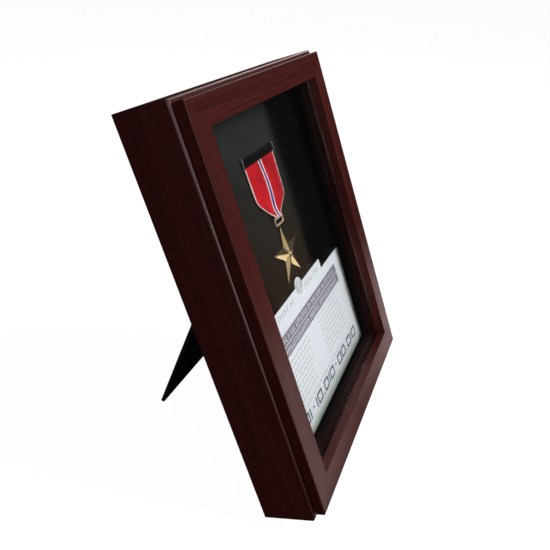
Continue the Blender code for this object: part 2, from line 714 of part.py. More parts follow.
def build_hanger(root):
    """A sawtooth hanger, nailed at both ends to the top wall."""
    pitch = 2 * HANGER_TEETH_HALF / HANGER_TEETH
    low = -HANGER_H / 2
    outline = [(-HANGER_HALF, low), (-HANGER_TEETH_HALF - HANGER_SLOPE, low)]
    for i in range(2 * HANGER_TEETH + 1):
        x = -HANGER_TEETH_HALF + i * pitch / 2
        arch = HANGER_ARCH * (1 - (x / HANGER_TEETH_HALF) ** 2)
        outline.append((x, low + HANGER_NOTCH + arch + HANGER_TOOTH * (i % 2)))
    outline += [(HANGER_TEETH_HALF + HANGER_SLOPE, low),
                (HANGER_HALF, low), (HANGER_HALF, -low), (-HANGER_HALF, -low)]
    hanger = place(extrusion("sawtooth_hanger", outline, HANGER_T / 2), "sawtooth_hanger", root,
                   (0, BACK_Y + GAP + HANGER_T / 2, HANGER_Z), OUTLINE_UP, "zinc_steel")
    profile = head_profile(NAIL_HEAD_R, NAIL_HEAD_H)
    reach = HANGER_T + 2 * GAP + NAIL_LENGTH
    profile += [(NAIL_R, 0), (NAIL_R, -reach + NAIL_POINT), (0, -reach)]
    for side, sign in (("left", -1), ("right", 1)):
        drill(hanger, f"hole_hanger_{side}", NAIL_R + CLEARANCE, 6 * HANGER_T, root,
              (sign * NAIL_X, BACK_Y, HANGER_Z), OUTLINE_UP)
        name = f"hanger_nail_{side}"
        nail = place(turned_mesh(name, profile), name, root,
                     (sign * NAIL_X, BACK_Y + 2 * GAP + HANGER_T, HANGER_Z), (-math.pi / 2, 0, 0),
                     "zinc_steel")
        smooth(nail)


def build_bumpers(root):
    profile = head_profile(BUMPER_R, BUMPER_H) + [(0, 0)]
    for side, sign in (("left", -1), ("right", 1)):
        name = f"bumper_{side}"
        bumper = place(turned_mesh(name, profile), name, root,
                       (sign * BUMPER_X, BACK_Y + GAP, BUMPER_Z), (-math.pi / 2, 0, 0),
                       "clear_rubber")
        smooth(bumper)


# ---------------------------------------------------------------- whole

def stand_on_floor(root):
    """Moves the leaning frame so that the middle of its footprint is at the origin."""
    bpy.context.view_layer.update()
    graph = bpy.context.evaluated_depsgraph_get()
    points = []
    for obj in bpy.data.collections[PARTS].objects:
        evaluated = obj.evaluated_get(graph)
        mesh = evaluated.to_mesh()
        points += [evaluated.matrix_world @ v.co for v in mesh.vertices]
        evaluated.to_mesh_clear()
    low = Vector([min(p[i] for p in points) for i in range(3)])
    high = Vector([max(p[i] for p in points) for i in range(3)])
    middle = (low + high) / 2
    root.location = (-middle.x, -middle.y, -low.z)


def main():
    clear_scene()
    new_collection(PARTS)
    new_collection(CUTTERS)
    root = new_empty("frame_axes", None, (0, 0, 0), (-LEAN, 0, 0))
    build_face_frame(root)
    build_box(root)
    build_glass(root)
    build_liner(root)
    build_pad(root)
    build_card(root)
    build_brooch(root)
    build_ribbon(root)
    build_pendant(root)
    build_back_panel(root)
    build_easel(root)
    build_turn_buttons(root)
    build_hanger(root)
    build_bumpers(root)
    stand_on_floor(root)


main()
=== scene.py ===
"""Looks of the medal display frame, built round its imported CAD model.

The frame leans back on its leg. Its own pieces are modelled in its upright axes, called the frame
axes here: x to the right, y from the face towards the back, z up, from the middle of the face.
AXES turns those into the axes of the CAD model. Units are metres.
"""

import json
import math
import random

import bmesh
import bpy
from mathutils import Matrix, Vector


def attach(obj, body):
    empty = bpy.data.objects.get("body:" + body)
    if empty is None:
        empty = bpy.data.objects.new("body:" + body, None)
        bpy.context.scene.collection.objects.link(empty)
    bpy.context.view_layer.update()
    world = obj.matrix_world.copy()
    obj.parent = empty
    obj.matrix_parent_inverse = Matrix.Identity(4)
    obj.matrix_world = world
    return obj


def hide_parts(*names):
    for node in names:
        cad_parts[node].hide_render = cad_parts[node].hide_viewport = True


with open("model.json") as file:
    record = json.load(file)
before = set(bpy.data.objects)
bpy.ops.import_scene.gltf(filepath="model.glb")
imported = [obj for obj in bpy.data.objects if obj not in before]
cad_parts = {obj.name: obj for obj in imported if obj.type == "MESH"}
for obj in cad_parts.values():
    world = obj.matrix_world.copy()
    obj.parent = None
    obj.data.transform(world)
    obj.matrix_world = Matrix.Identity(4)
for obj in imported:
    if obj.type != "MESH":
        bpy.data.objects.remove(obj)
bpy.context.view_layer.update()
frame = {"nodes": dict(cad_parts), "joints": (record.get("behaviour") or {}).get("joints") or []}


# ---------------------------------------------------------------- frame axes, and sizes in them

def joint_spot(name):
    """Where a joint is, in the axes of the CAD model."""
    return Vector(next(joint["pos_m"] for joint in frame["joints"] if joint["name"] == name))


def node_box(name):
    """The low and the high corner of a CAD node in the frame axes."""
    node = frame["nodes"][name]
    place = AXES.inverted() @ node.matrix_world
    points = [place @ vertex.co for vertex in node.data.vertices]
    return [Vector([pick(point[i] for point in points) for i in range(3)]) for pick in (min, max)]


LEAN = math.radians(21.0)
HINGE = Vector((0, 0.0403, 0.0376))
TURN = Matrix.Rotation(-LEAN, 4, "X")
AXES = Matrix.Translation(joint_spot("easel_leg_fold") - TURN @ HINGE) @ TURN
MIDDLE = (0, 0, 0.12)           # of the leaning frame, in the axes of the CAD model

# Face frame
FACE_LOW, FACE_HIGH = node_box("face_rail_left")
FACE_HALF_W = -FACE_LOW.x
FACE_HALF_H = node_box("face_rail_top")[1].z
FACE_RAIL = FACE_HIGH.x - FACE_LOW.x
FACE_T = FACE_HIGH.y
FACE_ARRIS_OUTER = 0.0007
FACE_ARRIS_INNER = 0.0004
FACE_ARRIS_BACK = 0.0002
MITRE_GAP = 0.00003

# Box behind it, with a step for the back panel
WALL_LOW, WALL_HIGH = node_box("box_wall_left")
PANEL_LOW = node_box("back_panel")[0]
PANEL_PLAY = 0.0003
BOX_HALF_W = -WALL_LOW.x
BOX_HALF_H = node_box("box_wall_top")[1].z
WALL = WALL_HIGH.x - WALL_LOW.x
WALL_EDGE = PANEL_LOW.x - WALL_LOW.x - PANEL_PLAY
STEP_Y = PANEL_LOW.y - PANEL_PLAY
BOX_ARRIS_FRONT = 0.0015
BOX_ARRIS_BACK = 0.0004
BOX_ARRIS_STEP = 0.0002

# Pad
PAD_LOW, PAD_HIGH = node_box("velvet_cover")
PAD_ROUND = 0.0012
CLOTH_T = 0.0007
PAINTED_REFLECTION_LOW = -0.02                 # heights between which the painted reflection changes from brown to blue
PAINTED_REFLECTION_HIGH = 0.08
PAINTED_REFLECTION_LEFT = 0.024                # x between which the painted reflection gives way to the plain black pile
PAINTED_REFLECTION_RIGHT = 0.036
PAINTED_REFLECTION_WANDER = 0.008

# Card
CARD_LOW, CARD_HIGH = node_box("insert_card")
CARD_ROUND = 0.0010
CARD_SHOULDER = -0.0240
CARD_TAB_LEFT = -0.0440
CARD_TAB_RIGHT = 0.0380
CREST_X = -0.0030
CREST_R = 0.0052
CREST_STEPS = 24
CARD_TAB = CARD_HIGH.z - CREST_R
CARD_SHADE_SIDE = 0.007         # widths of the shade along the right and lower edges
CARD_SHADE_FOOT = 0.0095

# Print on the card
INK = 0.00003
INK_ROOT = 0.00001
BAND_LEFT = -0.064
BAND_W = 0.126
BAND_H = 0.0067
BAND_FEET = (-0.0382, -0.0455)
BAND_LINE = (-0.061, 0.059)     # the left and right end of a line of strokes
BAND_LINE_UP = 0.0015
BAND_CELL = 0.0026              # room for one stroke with its short bar
BAND_PEN = 0.00055
TAB_LINES = ((-0.0415, -0.0105), (0.0055, 0.0360))
TAB_LINE_Z = -0.0232
TAB_CELL = 0.0036
TAB_PEN = 0.0008
STROKE_H = 0.0036
STROKE_LEVELS = (0.0, 0.43, 0.80)   # where the short bar may stand, as a share of the height
STROKE_BAR = (0.25, 0.42)           # how long it may be, as a share of the cell
STROKE_OFF = 1.7                    # where it starts, in pen widths
BLANK_CHANCE = 0.14
BLANK_W = 0.7                       # of a cell
COLUMNS = ((-0.062, -0.006, -0.0500), (0.010, 0.062, -0.0490))      # left, right, first line
COLUMN_LINES = 9
COLUMN_PITCH = 0.0035
COLUMN_RAG = 0.012
COLUMN_BARS = (0.007, 0.0010)       # longest bar, and the space after each
FOOT_LINE = (-0.040, 0.036, -0.0837)
FOOT_BARS = (0.006, 0.0016)
BAR_PRINT_H = 0.0009
BAR_PRINT_MIN = 0.002
MARKS_LEFT = -0.064
MARKS_W = 0.130
MARKS_LOW = -0.0940
MARKS_HIGH = -0.0862
MARKS_PEN = 0.0015
MARKS_MARGIN = 0.0005
MARKS_DOT = 0.0021
RING_PRINT_RADII = (0.0046, 0.0032, 0.0017)
RING_PRINT_PEN = 0.00028
RING_PRINT_DROP = 0.0010
RING_PRINT_STEPS = 40

# Brooch bar
BAR_LOW, BAR_HIGH = node_box("brooch_bar")
MEDAL_X = (BAR_LOW.x + BAR_HIGH.x) / 2
BAR_END_T = 0.0009
BAR_END_RIM = 0.0006            # how far the end plates stand past the bar above and below
BAR_END_PROUD = 0.0002          # and in front
BAR_END_ARRIS = 0.00022
BAR_ROUND_HEAD = 0.0010
BAR_ROUND_FOOT = 0.0003
BAR_ROUND_BACK = 0.0002
BAR_ROUND_LIP = 0.0001
BAR_LIP_H = 0.0009
BAR_LIP_SHARE = 0.35            # where the lip's front is, as a share of the bar's depth

# Ribbon, and the loop in which the ring hangs
LOOP = AXES.inverted() @ joint_spot("pendant_swing")
LOOP_R = 0.00105
LOOP_HALF = 0.0040
LOOP_STEPS = 12
RIBBON_Y = 0.0194
RIBBON_TOP = node_box("ribbon")[1].z
RIBBON_HALF = 0.0209
RIBBON_CORNER_HALF = 0.0201
RIBBON_NECK_HALF = 0.0046
RIBBON_NECK = 0.0327
RIBBON_MERGE = (0.0321, 0.0333)     # heights between which the ribbon takes the loop's width
RIBBON_LEFT = (0.0455, 0.0016)      # height and softness of the lower left corner
RIBBON_RIGHT = (0.0405, 0.0010)
RIBBON_FORWARD = (0.0400, 0.0319)  # heights between which it comes forward to the loop
RIBBON_ROWS = 60
RIBBON_END = 0.0003
RIBBON_T = 0.00040
RIBBON_BELLY = 0.0010
RIBBON_FOLD = 0.00016
FOLD_ACROSS = 7                 # radians of the folds' wave across half the width
FOLD_DOWN = 210                 # and per metre down
STRIPE_ENDS = (0.00055, 0.00110, 0.00175, 0.00240)      # two blue columns, then two white
STRIPE_EDGE = 0.0009
STRIPE_REDS = 14
STRIPE_FULL_HALF = 0.0042       # where the ribbon is narrower than this, its stripes are too

# Ring and star
RING_HALF = 0.0055
RING_FOOT = 0.0268
RING_WIRE_R = 0.00055
RING_ROUND_TOP = 0.0009
RING_ROUND_FOOT = 0.0012
STAR_POINTS = 5
STAR_LOW, STAR_HIGH = node_box("medal_star")
STAR_R = (STAR_HIGH.x - STAR_LOW.x) / (2 * math.cos(math.pi / (2 * STAR_POINTS)))
STAR_WAIST_R = 0.0070
STAR_RISE = 0.0016
STAR_RIM = 0.0007
STAR_ARRIS = 0.00012
STAR = Vector((MEDAL_X, STAR_HIGH.y - STAR_RIM, STAR_HIGH.z - STAR_R))
BOSS_R = 0.0042
BOSS_LIFT = 0.0006
BOSS_STEP = 0.00035

# Camera in the frame axes, and the plane of the glowing cards in front of the face
CAMERA_SPOT = (-0.3156, -0.1435, 0.1244)
CAMERA_RIGHT = Vector((0.3533, -0.8922, -0.2813))
CAMERA_FORWARD = Vector((0.8501, 0.4318, -0.3016))
CAMERA_SHIFT = (-0.0296, -0.0607)
CAMERA_LENS_MM = 38.33
CAMERA_SENSOR_MM = 36
CAMERA_CLIP = 0.02
CARD_PLANE = -0.45
FLOOR_HALF = 30
FLOOR_DROP = 0.0002


# ---------------------------------------------------------------- objects and meshes

def new_object(name, data):
    """An object in the scene."""
    obj = bpy.data.objects.new(name, data)
    bpy.context.scene.collection.objects.link(obj)
    return obj


def finish_mesh(bm, name, angle=35):
    """The mesh, shaded smooth but for edges sharper than the angle."""
    bmesh.ops.recalc_face_normals(bm, faces=bm.faces[:])
    mesh = bpy.data.meshes.new(name)
    bm.to_mesh(mesh)
    bm.free()
    mesh.shade_smooth()
    mesh.set_sharp_from_angle(angle=math.radians(angle))
    return mesh


def add_piece(mesh, name, body, materials, replaces=(), place=Matrix()):
    """A new piece in the frame axes, which rides on a body and takes the given materials."""
    obj = new_object(name, mesh)
    obj.matrix_world = AXES @ place
    for mat in materials:
        mesh.materials.append(mat)
    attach(obj, body)
    if replaces:
        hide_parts(*replaces)
    return obj


def apply_modifiers(obj):
    """The modifiers' result becomes the object's own mesh."""
    graph = bpy.context.evaluated_depsgraph_get()
    baked = bpy.data.meshes.new_from_object(obj.evaluated_get(graph), depsgraph=graph)
    obj.modifiers.clear()
    obj.data = baked


def thicken(obj, thickness, offset):
    """A sheet gets its thickness: behind it for offset -1, on both sides for offset 0."""
    shell = obj.modifiers.new("thickness", "SOLIDIFY")
    shell.thickness = thickness
    shell.offset = offset
    apply_modifiers(obj)


def soften_edges(obj, width, angle):
    """A small round along every edge sharper than the angle."""
    bevel = obj.modifiers.new("worn_edges", "BEVEL")
    bevel.width = width
    bevel.segments = 3
    bevel.limit_method = "ANGLE"
    bevel.angle_limit = math.radians(angle)
    apply_modifiers(obj)


def rounded(corners, steps=8):
    """An outline whose (x, y, radius) corners are rounded."""
    points = []
    for i, (x, y, radius) in enumerate(corners):
        here = Vector((x, y))
        if not radius:
            points.append(here)
            continue
        before = (Vector(corners[i - 1][:2]) - here).normalized()
        after = (Vector(corners[(i + 1) % len(corners)][:2]) - here).normalized()
        half = before.angle(after) / 2
        centre = here + (before + after).normalized() * (radius / math.sin(half))
        start = here + before * (radius / math.tan(half)) - centre
        end = here + after * (radius / math.tan(half)) - centre
        sweep = start.angle_signed(end)
        for step in range(steps + 1):
            turn = Matrix.Rotation(-sweep * step / steps, 2)
            points.append(centre + turn @ start)
    return [(p.x, p.y) for p in points]


def add_box(bm, low, high):
    """A closed box between two corners."""
    size = Vector(high) - Vector(low)
    middle = (Vector(high) + Vector(low)) / 2
    made = bmesh.ops.create_cube(bm, size=1.0)["verts"]
    bmesh.ops.scale(bm, vec=size, verts=made)
    bmesh.ops.translate(bm, vec=middle, verts=made)
    return made


def add_loft(bm, first, last):
    """A closed solid between two matching outlines."""
    ends = [[bm.verts.new(point) for point in outline] for outline in (first, last)]
    count = len(first)
    for i in range(count):
        j = (i + 1) % count
        bm.faces.new((ends[0][i], ends[0][j], ends[1][j], ends[1][i]))
    bm.faces.new(ends[0][::-1])
    bm.faces.new(ends[1])


def wire_ring_mesh(name, points, radius, resolution):
    """Round wire along a closed line of points."""
    curve = bpy.data.curves.new(name, "CURVE")
    curve.dimensions = "3D"
    spline = curve.splines.new("POLY")
    spline.points.add(len(points) - 1)
    for target, point in zip(spline.points, points):
        target.co = (*point, 1.0)
    spline.use_cyclic_u = True
    curve.bevel_depth = radius
    curve.bevel_resolution = resolution
    temp = new_object(name, curve)
    graph = bpy.context.evaluated_depsgraph_get()
    mesh = bpy.data.meshes.new_from_object(temp.evaluated_get(graph))
    bpy.data.objects.remove(temp)
    bm = bmesh.new()
    bm.from_mesh(mesh)
    bpy.data.meshes.remove(mesh)
    bmesh.ops.remove_doubles(bm, verts=bm.verts[:], dist=0.000002)
    return finish_mesh(bm, name, 60)


# ---------------------------------------------------------------- materials

class Surface:
    """A material round one Principled shader, with short calls for its textures."""

    def __init__(self, name, colour, roughness, metallic=0.0, specular=0.5):
        self.mat = bpy.data.materials.new(name)
        self.mat.use_nodes = True
        self.tree = self.mat.node_tree
        self.shader = self.tree.nodes["Principled BSDF"]
        self.set("Base Color", (*colour, 1.0))
        self.set("Roughness", roughness)
        self.set("Metallic", metallic)
        self.set("Specular IOR Level", specular)

    def set(self, socket, value):
        """A value that is the same all over the surface."""
        self.shader.inputs[socket].default_value = value

    def node(self, kind, inputs, **settings):
        """A node, with its inputs by name or number: sockets are linked, values are set."""
        made = self.tree.nodes.new(kind)
        for name, value in settings.items():
            setattr(made, name, value)
        for key, value in inputs.items():
            socket = made.inputs[key]
            if isinstance(value, bpy.types.NodeSocket):
                self.tree.links.new(value, socket)
            elif socket.type == "RGBA":
                socket.default_value = (*value, 1.0)
            else:
                socket.default_value = value
        return made

    def object_coords(self):
        """Places on the piece in its own axes."""
        return self.node("ShaderNodeTexCoord", {}).outputs["Object"]

    def split_coords(self):
        """Object coordinates, one output each for X, Y and Z."""
        return self.node("ShaderNodeSeparateXYZ", {"Vector": self.object_coords()}).outputs

    def noise(self, scale, detail, roughness=0.55, distortion=0.0, shift=(0, 0, 0)):
        """Noise by object coordinates, with so many lumps per metre along each axis."""
        where = self.node("ShaderNodeMapping", {
            "Vector": self.object_coords(), "Location": shift, "Scale": scale})
        made = self.node("ShaderNodeTexNoise", {
            "Vector": where.outputs["Vector"], "Scale": 1.0, "Detail": detail,
            "Roughness": roughness, "Distortion": distortion})
        return made.outputs["Fac"]

    def between(self, value, low, high):
        """From 0 to 1 as value goes from low to high."""
        made = self.node("ShaderNodeMapRange", {"Value": value, "From Min": low, "From Max": high})
        return made.outputs["Result"]

    def ramp(self, value, stops):
        """Colour stops as (position, (r, g, b)), or numbers as (position, number)."""
        made = self.node("ShaderNodeValToRGB", {"Fac": value})
        elements = made.color_ramp.elements
        while len(elements) < len(stops):
            elements.new(0.5)
        for element, (position, colour) in zip(elements, stops):
            rgb = colour if isinstance(colour, tuple) else (colour, colour, colour)
            element.position = position
            element.color = (*rgb, 1.0)
        return made.outputs["Color"]

    def mix(self, factor, first, second, blend="MIX"):
        """Two colours by a factor. The node's inputs 0, 6 and 7 and its output 2 are its colour form."""
        made = self.node("ShaderNodeMix", {0: factor, 6: first, 7: second},
                         data_type="RGBA", blend_type=blend)
        return made.outputs[2]

    def math(self, operation, first, second):
        """Two numbers or outputs, added, multiplied or compared."""
        made = self.node("ShaderNodeMath", {0: first, 1: second}, operation=operation)
        return made.outputs["Value"]

    def colour(self, source):
        """The surface's colour comes from an output."""
        self.tree.links.new(source, self.shader.inputs["Base Color"])

    def spread(self, value, socket, low, high):
        """The socket goes from low to high as value goes from 0 to 1."""
        made = self.node("ShaderNodeMapRange", {"Value": value, "To Min": low, "To Max": high})
        self.tree.links.new(made.outputs["Result"], self.shader.inputs[socket])

    def roughness(self, value, low, high):
        """The roughness goes from low to high as value goes from 0 to 1."""
        self.spread(value, "Roughness", low, high)

    def bump(self, height, distance, strength):
        """Fine relief that is too small to model."""
        made = self.node("ShaderNodeBump", {
            "Height": height, "Distance": distance, "Strength": strength})
        self.tree.links.new(made.outputs["Normal"], self.shader.inputs["Normal"])


def scaled(colour, share):
    """A lighter or darker colour of the same hue."""
    return tuple(min(1.0, share * channel) for channel in colour)


def mahogany(name, seed, contrast, gloss):
    """Dark red-brown laminate with its grain along local z, and a satin lacquer."""
    wood = Surface(name, (0.04, 0.01, 0.01), 0.36, specular=gloss)
    shift = (seed * 0.37, seed * 0.11, seed * 0.53)
    bands = wood.noise((70, 70, 3.5), 3.0, 0.5, 0.6, shift)
    streaks = wood.noise((900, 900, 14), 5.0, 0.62, shift=shift)
    pores = wood.noise((2600, 2600, 60), 2.0, 0.5, shift=shift)
    tone = wood.ramp(bands, [(0.32, (0.060, 0.0110, 0.0104)), (0.68, (0.086, 0.0155, 0.0146))])
    fine = wood.ramp(streaks, [(0.30, 0.62), (0.60, 1.12)])
    grain = wood.mix(contrast, tone, fine, "MULTIPLY")
    dark_pores = wood.ramp(pores, [(0.34, 0.55), (0.42, 1.0)])
    wood.colour(wood.mix(0.7 * contrast, grain, dark_pores, "MULTIPLY"))
    wood.roughness(streaks, 0.26, 0.40)
    wood.bump(pores, 0.00004, 0.5 * contrast)
    return wood.mat


def clear_glass():
    """A thin pane that doesn't bend what is behind it: a clear body under a glossy coat."""
    glass = Surface("float_glass", (0.95, 0.98, 0.96), 0.0)
    glass.set("Transmission Weight", 1.0)
    glass.set("IOR", 1.0)
    glass.set("Coat Weight", 1.0)
    glass.set("Coat IOR", 1.45)
    smears = glass.noise((14, 14, 9), 3.0)
    glass.spread(smears, "Coat Roughness", 0.0, 0.03)
    return glass.mat


def fibrous(name, colour):
    """Matt paper, board or foam with a fine fibre in it."""
    paper = Surface(name, colour, 0.8, specular=0.03)
    fibre = paper.noise((900, 900, 900), 4.0, 0.65)
    paper.colour(paper.ramp(fibre, [(0.35, colour), (0.75, scaled(colour, 1.9))]))
    paper.roughness(fibre, 0.7, 0.92)
    paper.bump(fibre, 0.00008, 0.6)
    return paper.mat


def black_velvet():
    """Black pile with a painted reflection on its left part, which looks paler and a little browner
    lower down.
    """
    velvet = Surface("black_velvet", (0.002, 0.002, 0.002), 0.95, specular=0.02)
    split = velvet.split_coords()
    blotches = velvet.noise((28, 28, 20), 3.0, 0.5, 0.4)
    pile = velvet.noise((3200, 3200, 3200), 2.0)
    height = velvet.between(split["Z"], PAINTED_REFLECTION_LOW, PAINTED_REFLECTION_HIGH)
    # painted reflection: a pale haze on the left of the cloth, brown low down and blue-grey high up
    raised = velvet.ramp(height, [(0.0, (0.0145, 0.0068, 0.0034)), (1.0, (0.0140, 0.0160, 0.0155))])
    wavy = velvet.math("ADD", split["X"], velvet.math("MULTIPLY", blotches, PAINTED_REFLECTION_WANDER))
    across = velvet.between(wavy, PAINTED_REFLECTION_LEFT, PAINTED_REFLECTION_RIGHT)
    # the cloth's own near-black colour, a little lighter and darker at random
    smooth = velvet.ramp(blotches, [(0.35, (0.0006, 0.0006, 0.0006)), (0.7, (0.0012, 0.0012, 0.0011))])
    velvet.colour(velvet.mix(across, raised, smooth))
    velvet.set("Sheen Weight", 0.006)
    velvet.set("Sheen Roughness", 0.45)
    velvet.set("Sheen Tint", (0.75, 0.78, 0.68, 1.0))
    velvet.bump(pile, 0.0002, 0.7)
    return velvet.mat


def card_stock():
    """Smooth white card, with a soft grey-green painted shadow along its right and lower edges."""
    card = Surface("card_stock", (0.78, 0.82, 0.86), 0.55, specular=0.3)
    split = card.split_coords()
    from_right = card.between(split["X"], CARD_HIGH.x, CARD_HIGH.x - CARD_SHADE_SIDE)
    from_foot = card.between(split["Z"], CARD_LOW.z, CARD_LOW.z + CARD_SHADE_FOOT)
    nearest = card.math("MINIMUM", from_right, from_foot)
    # painted shadow: dark grey-green at the right and lower edges, fading to the card's white inside
    shade = card.ramp(nearest, [
        (0.0, (0.07, 0.09, 0.065)), (0.35, (0.34, 0.37, 0.35)),
        (0.7, (0.53, 0.55, 0.59)), (1.0, (0.62, 0.635, 0.70))])
    fibre = card.noise((700, 700, 700), 4.0)
    speckle = card.ramp(fibre, [(0.3, 0.965), (0.7, 1.0)])
    card.colour(card.mix(1.0, shade, speckle, "MULTIPLY"))
    card.roughness(fibre, 0.45, 0.62)
    card.bump(fibre, 0.00003, 0.5)
    return card.mat


def ink(name, colour):
    """Flat print, a little mottled."""
    made = Surface(name, colour, 0.5, specular=0.3)
    mottle = made.noise((1500, 1500, 1500), 3.0)
    made.colour(made.ramp(mottle, [(0.3, scaled(colour, 0.86)), (0.7, colour)]))
    made.roughness(mottle, 0.42, 0.58)
    return made.mat


def woven(name, colour):
    """Ribbed silk-like ribbon: fine cross ribs, and soft watered bands over them."""
    cloth = Surface(name, colour, 0.55, specular=0.03)
    ribs = cloth.node("ShaderNodeTexWave", {
        "Vector": cloth.object_coords(), "Scale": 320, "Distortion": 0.6, "Detail": 1.0},
        wave_type="BANDS", bands_direction="Z")
    warp = cloth.noise((2400, 2400, 160), 2.0)
    water = cloth.noise((60, 60, 26), 2.0, 0.5, 1.2, (1.3, 0.0, 0.6))
    shade = cloth.ramp(water, [(0.3, scaled(colour, 0.62)), (0.66, scaled(colour, 1.18))])
    thread = cloth.ramp(warp, [(0.3, 0.84), (0.7, 1.05)])
    cloth.colour(cloth.mix(1.0, shade, thread, "MULTIPLY"))
    cloth.roughness(water, 0.42, 0.62)
    cloth.bump(ribs.outputs["Fac"], 0.00006, 0.6)
    return cloth.mat


def metal(name, colour, smooth, rough, metallic=1.0, bump=0.00002):
    """Worn metal: mottled between smooth and rough, with patches of a darker tone."""
    made = Surface(name, colour, smooth, metallic=metallic)
    fine = made.noise((900, 900, 900), 5.0, 0.6)
    broad = made.noise((120, 120, 120), 3.0)
    made.colour(made.ramp(broad, [(0.32, scaled(colour, 0.72)), (0.62, colour)]))
    made.roughness(fine, smooth, rough)
    made.bump(fine, bump, 0.5)
    return made.mat


def black_enamel():
    """Glossy black paint with a trace of wear."""
    enamel = Surface("black_enamel", (0.002, 0.002, 0.002), 0.16, specular=0.4)
    wear = enamel.noise((700, 700, 700), 4.0)
    enamel.colour(enamel.ramp(wear, [
        (0.35, (0.0012, 0.0012, 0.0012)), (0.7, (0.0026, 0.0026, 0.0028))]))
    enamel.roughness(wear, 0.12, 0.24)
    return enamel.mat


def bumper_rubber():
    """Soft clear rubber, slightly cloudy."""
    soft = Surface("bumper_rubber", (0.42, 0.42, 0.40), 0.35, specular=0.45)
    soft.set("Transmission Weight", 0.35)
    cloud = soft.noise((500, 500, 500), 3.0)
    soft.roughness(cloud, 0.28, 0.5)
    soft.bump(cloud, 0.00003, 0.4)
    return soft.mat


# ---------------------------------------------------------------- frame and box

def mitred_rail_mesh(name, section, half_length):
    """The section, in inward distance and depth, along local z, with its ends cut at 45 degrees."""
    bm = bmesh.new()
    low, high = ([(x, y, end * (half_length - x - MITRE_GAP)) for x, y in section]
                 for end in (-1, 1))
    add_loft(bm, low, high)
    return finish_mesh(bm, name, 30)


def build_rails(prefix, section, half_w, half_h, first_seed, contrast, gloss):
    """Four rails round a rectangle, each with its own stretch of grain."""
    layout = {
        "left": ((-half_w, 0, 0), 0, half_h),
        "right": ((half_w, 0, 0), math.pi, half_h),
        "top": ((0, 0, half_h), math.pi / 2, half_w),
        "bottom": ((0, 0, -half_h), -math.pi / 2, half_w),
    }
    for i, (side, (spot, turn, half)) in enumerate(layout.items()):
        name = f"{prefix}_{side}"
        place = Matrix.Translation(spot) @ Matrix.Rotation(turn, 4, "Y")
        wood = mahogany(f"mahogany_{name}", first_seed + i, contrast, gloss)
        add_piece(mitred_rail_mesh(f"{name}_wood", section, half), f"{name}_wood", "case",
                  [wood], [name], place)


def build_wood():
    """The face frame, and the glossier box behind it."""
    face = rounded([
        (0, 0, FACE_ARRIS_OUTER),
        (0, FACE_T, FACE_ARRIS_BACK),
        (FACE_RAIL, FACE_T, 0),
        (FACE_RAIL, 0, FACE_ARRIS_INNER),
    ])
    build_rails("face_rail", face, FACE_HALF_W, FACE_HALF_H, 1, contrast=1.0, gloss=0.10)
    box = rounded([
        (0, WALL_LOW.y, BOX_ARRIS_FRONT),
        (0, WALL_HIGH.y, BOX_ARRIS_BACK),
        (WALL_EDGE, WALL_HIGH.y, BOX_ARRIS_STEP),
        (WALL_EDGE, STEP_Y, 0),
        (WALL, STEP_Y, 0),
        (WALL, WALL_LOW.y, 0),
    ])
    build_rails("box_wall", box, BOX_HALF_W, BOX_HALF_H, 11, contrast=0.45, gloss=0.45)


# ---------------------------------------------------------------- pad and card

def build_velvet():
    """The cloth over the pad: a rounded front, sides, and a free edge behind."""
    bm = bmesh.new()
    add_box(bm, PAD_LOW, PAD_HIGH)
    bm.normal_update()
    rear = [f for f in bm.faces if f.normal.y > 0.5]
    bmesh.ops.delete(bm, geom=rear, context="FACES")
    rim = [e for e in bm.edges if not e.is_boundary]
    bmesh.ops.bevel(bm, geom=rim, offset=PAD_ROUND, segments=5, profile=0.5, affect="EDGES")
    cloth = add_piece(finish_mesh(bm, "velvet_cloth", 60), "velvet_cloth", "case",
                      [black_velvet()], ["velvet_cover"])
    thicken(cloth, CLOTH_T, -1)


def card_outline():
    """The card from its lower right corner: right shoulder, tab, round crest, left shoulder."""
    half = CARD_HIGH.x
    right = rounded([
        (-half, CARD_LOW.z, 0),
        (half, CARD_LOW.z, 0),
        (half, CARD_SHOULDER, CARD_ROUND),
        (CARD_TAB_RIGHT, CARD_SHOULDER, 0),
        (CARD_TAB_RIGHT, CARD_TAB, CARD_ROUND),
        (CREST_X + CREST_R, CARD_TAB, 0),
    ])
    turns = [math.pi * i / CREST_STEPS for i in range(1, CREST_STEPS)]
    crest = [(CREST_X + CREST_R * math.cos(turn), CARD_TAB + CREST_R * math.sin(turn))
             for turn in turns]
    left = rounded([
        (CREST_X - CREST_R, CARD_TAB, 0),
        (CARD_TAB_LEFT, CARD_TAB, CARD_ROUND),
        (CARD_TAB_LEFT, CARD_SHOULDER, 0),
        (-half, CARD_SHOULDER, CARD_ROUND),
        (-half, CARD_LOW.z, 0),
    ])
    return right + crest + left[:-1]


def print_piece(name, marks, colour, lift=INK):
    """Flat printed marks: (x, z, width, height) with (x, z) the lower left corner."""
    bm = bmesh.new()
    for x, z, wide, high in marks:
        add_box(bm, (x, CARD_LOW.y - lift, z), (x + wide, CARD_LOW.y + INK_ROOT, z + high))
    add_piece(finish_mesh(bm, name), name, "case", [ink(f"ink_{name}", colour)])


def bar_line(rng, left, right, z, longest, space):
    """A line of print as plain bars of random lengths."""
    bars = []
    x = left
    while x < right - BAR_PRINT_MIN:
        wide = min(rng.uniform(BAR_PRINT_MIN, longest), right - x)
        bars.append((x, z, wide, BAR_PRINT_H))
        x += wide + space
    return bars


def stroke_line(rng, left, right, z, cell, pen):
    """A line of plain marks, each an upright stroke with one short bar standing off it."""
    bars = []
    x = left
    while x < right - cell:
        if rng.random() < BLANK_CHANCE:
            x += cell * BLANK_W
            continue
        bars.append((x, z, pen, STROKE_H))
        up = rng.choice(STROKE_LEVELS) * STROKE_H
        bars.append((x + STROKE_OFF * pen, z + up, cell * rng.uniform(*STROKE_BAR), pen))
        x += cell
    return bars


